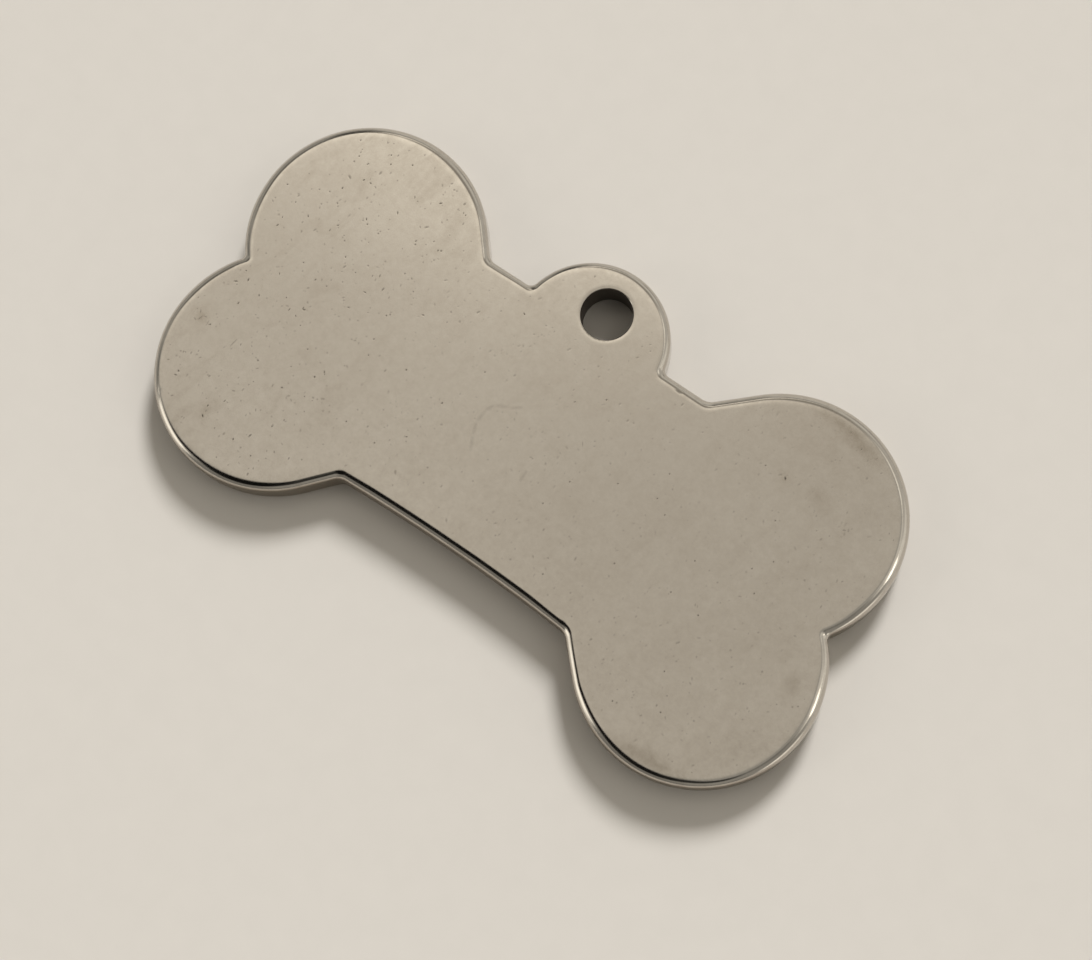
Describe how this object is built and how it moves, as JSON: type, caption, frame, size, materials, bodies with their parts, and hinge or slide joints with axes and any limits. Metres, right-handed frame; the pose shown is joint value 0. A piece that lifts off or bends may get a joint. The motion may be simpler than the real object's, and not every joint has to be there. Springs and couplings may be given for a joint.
{
  "type": "pet id tag",
  "caption": "Flat bone-shaped metal pet tag with polished round edges and a round tab with a hole for a split ring.",
  "frame": {"origin": "on the back face that the tag lies on, on the tab's centre line, midway between the two rows of lobes", "axes": "+X along the bone, +Y towards the hanging tab, +Z out of the front face"},
  "size_m": [0.0399, 0.0212, 0.002],
  "materials": {
    "bright_nickel": "bright nickel plate, polished, with fine pits and a light haze of wear",
    "plated_copper": "satin copper plate, covered by the nickel",
    "cast_zinc": "die-cast zinc alloy, covered by the plating"
  },
  "bodies": {
    "root": {"bright_nickel_plating": "bright_nickel", "copper_underplate": "plated_copper", "zinc_blank": "cast_zinc"}
  },
  "joints": []
}
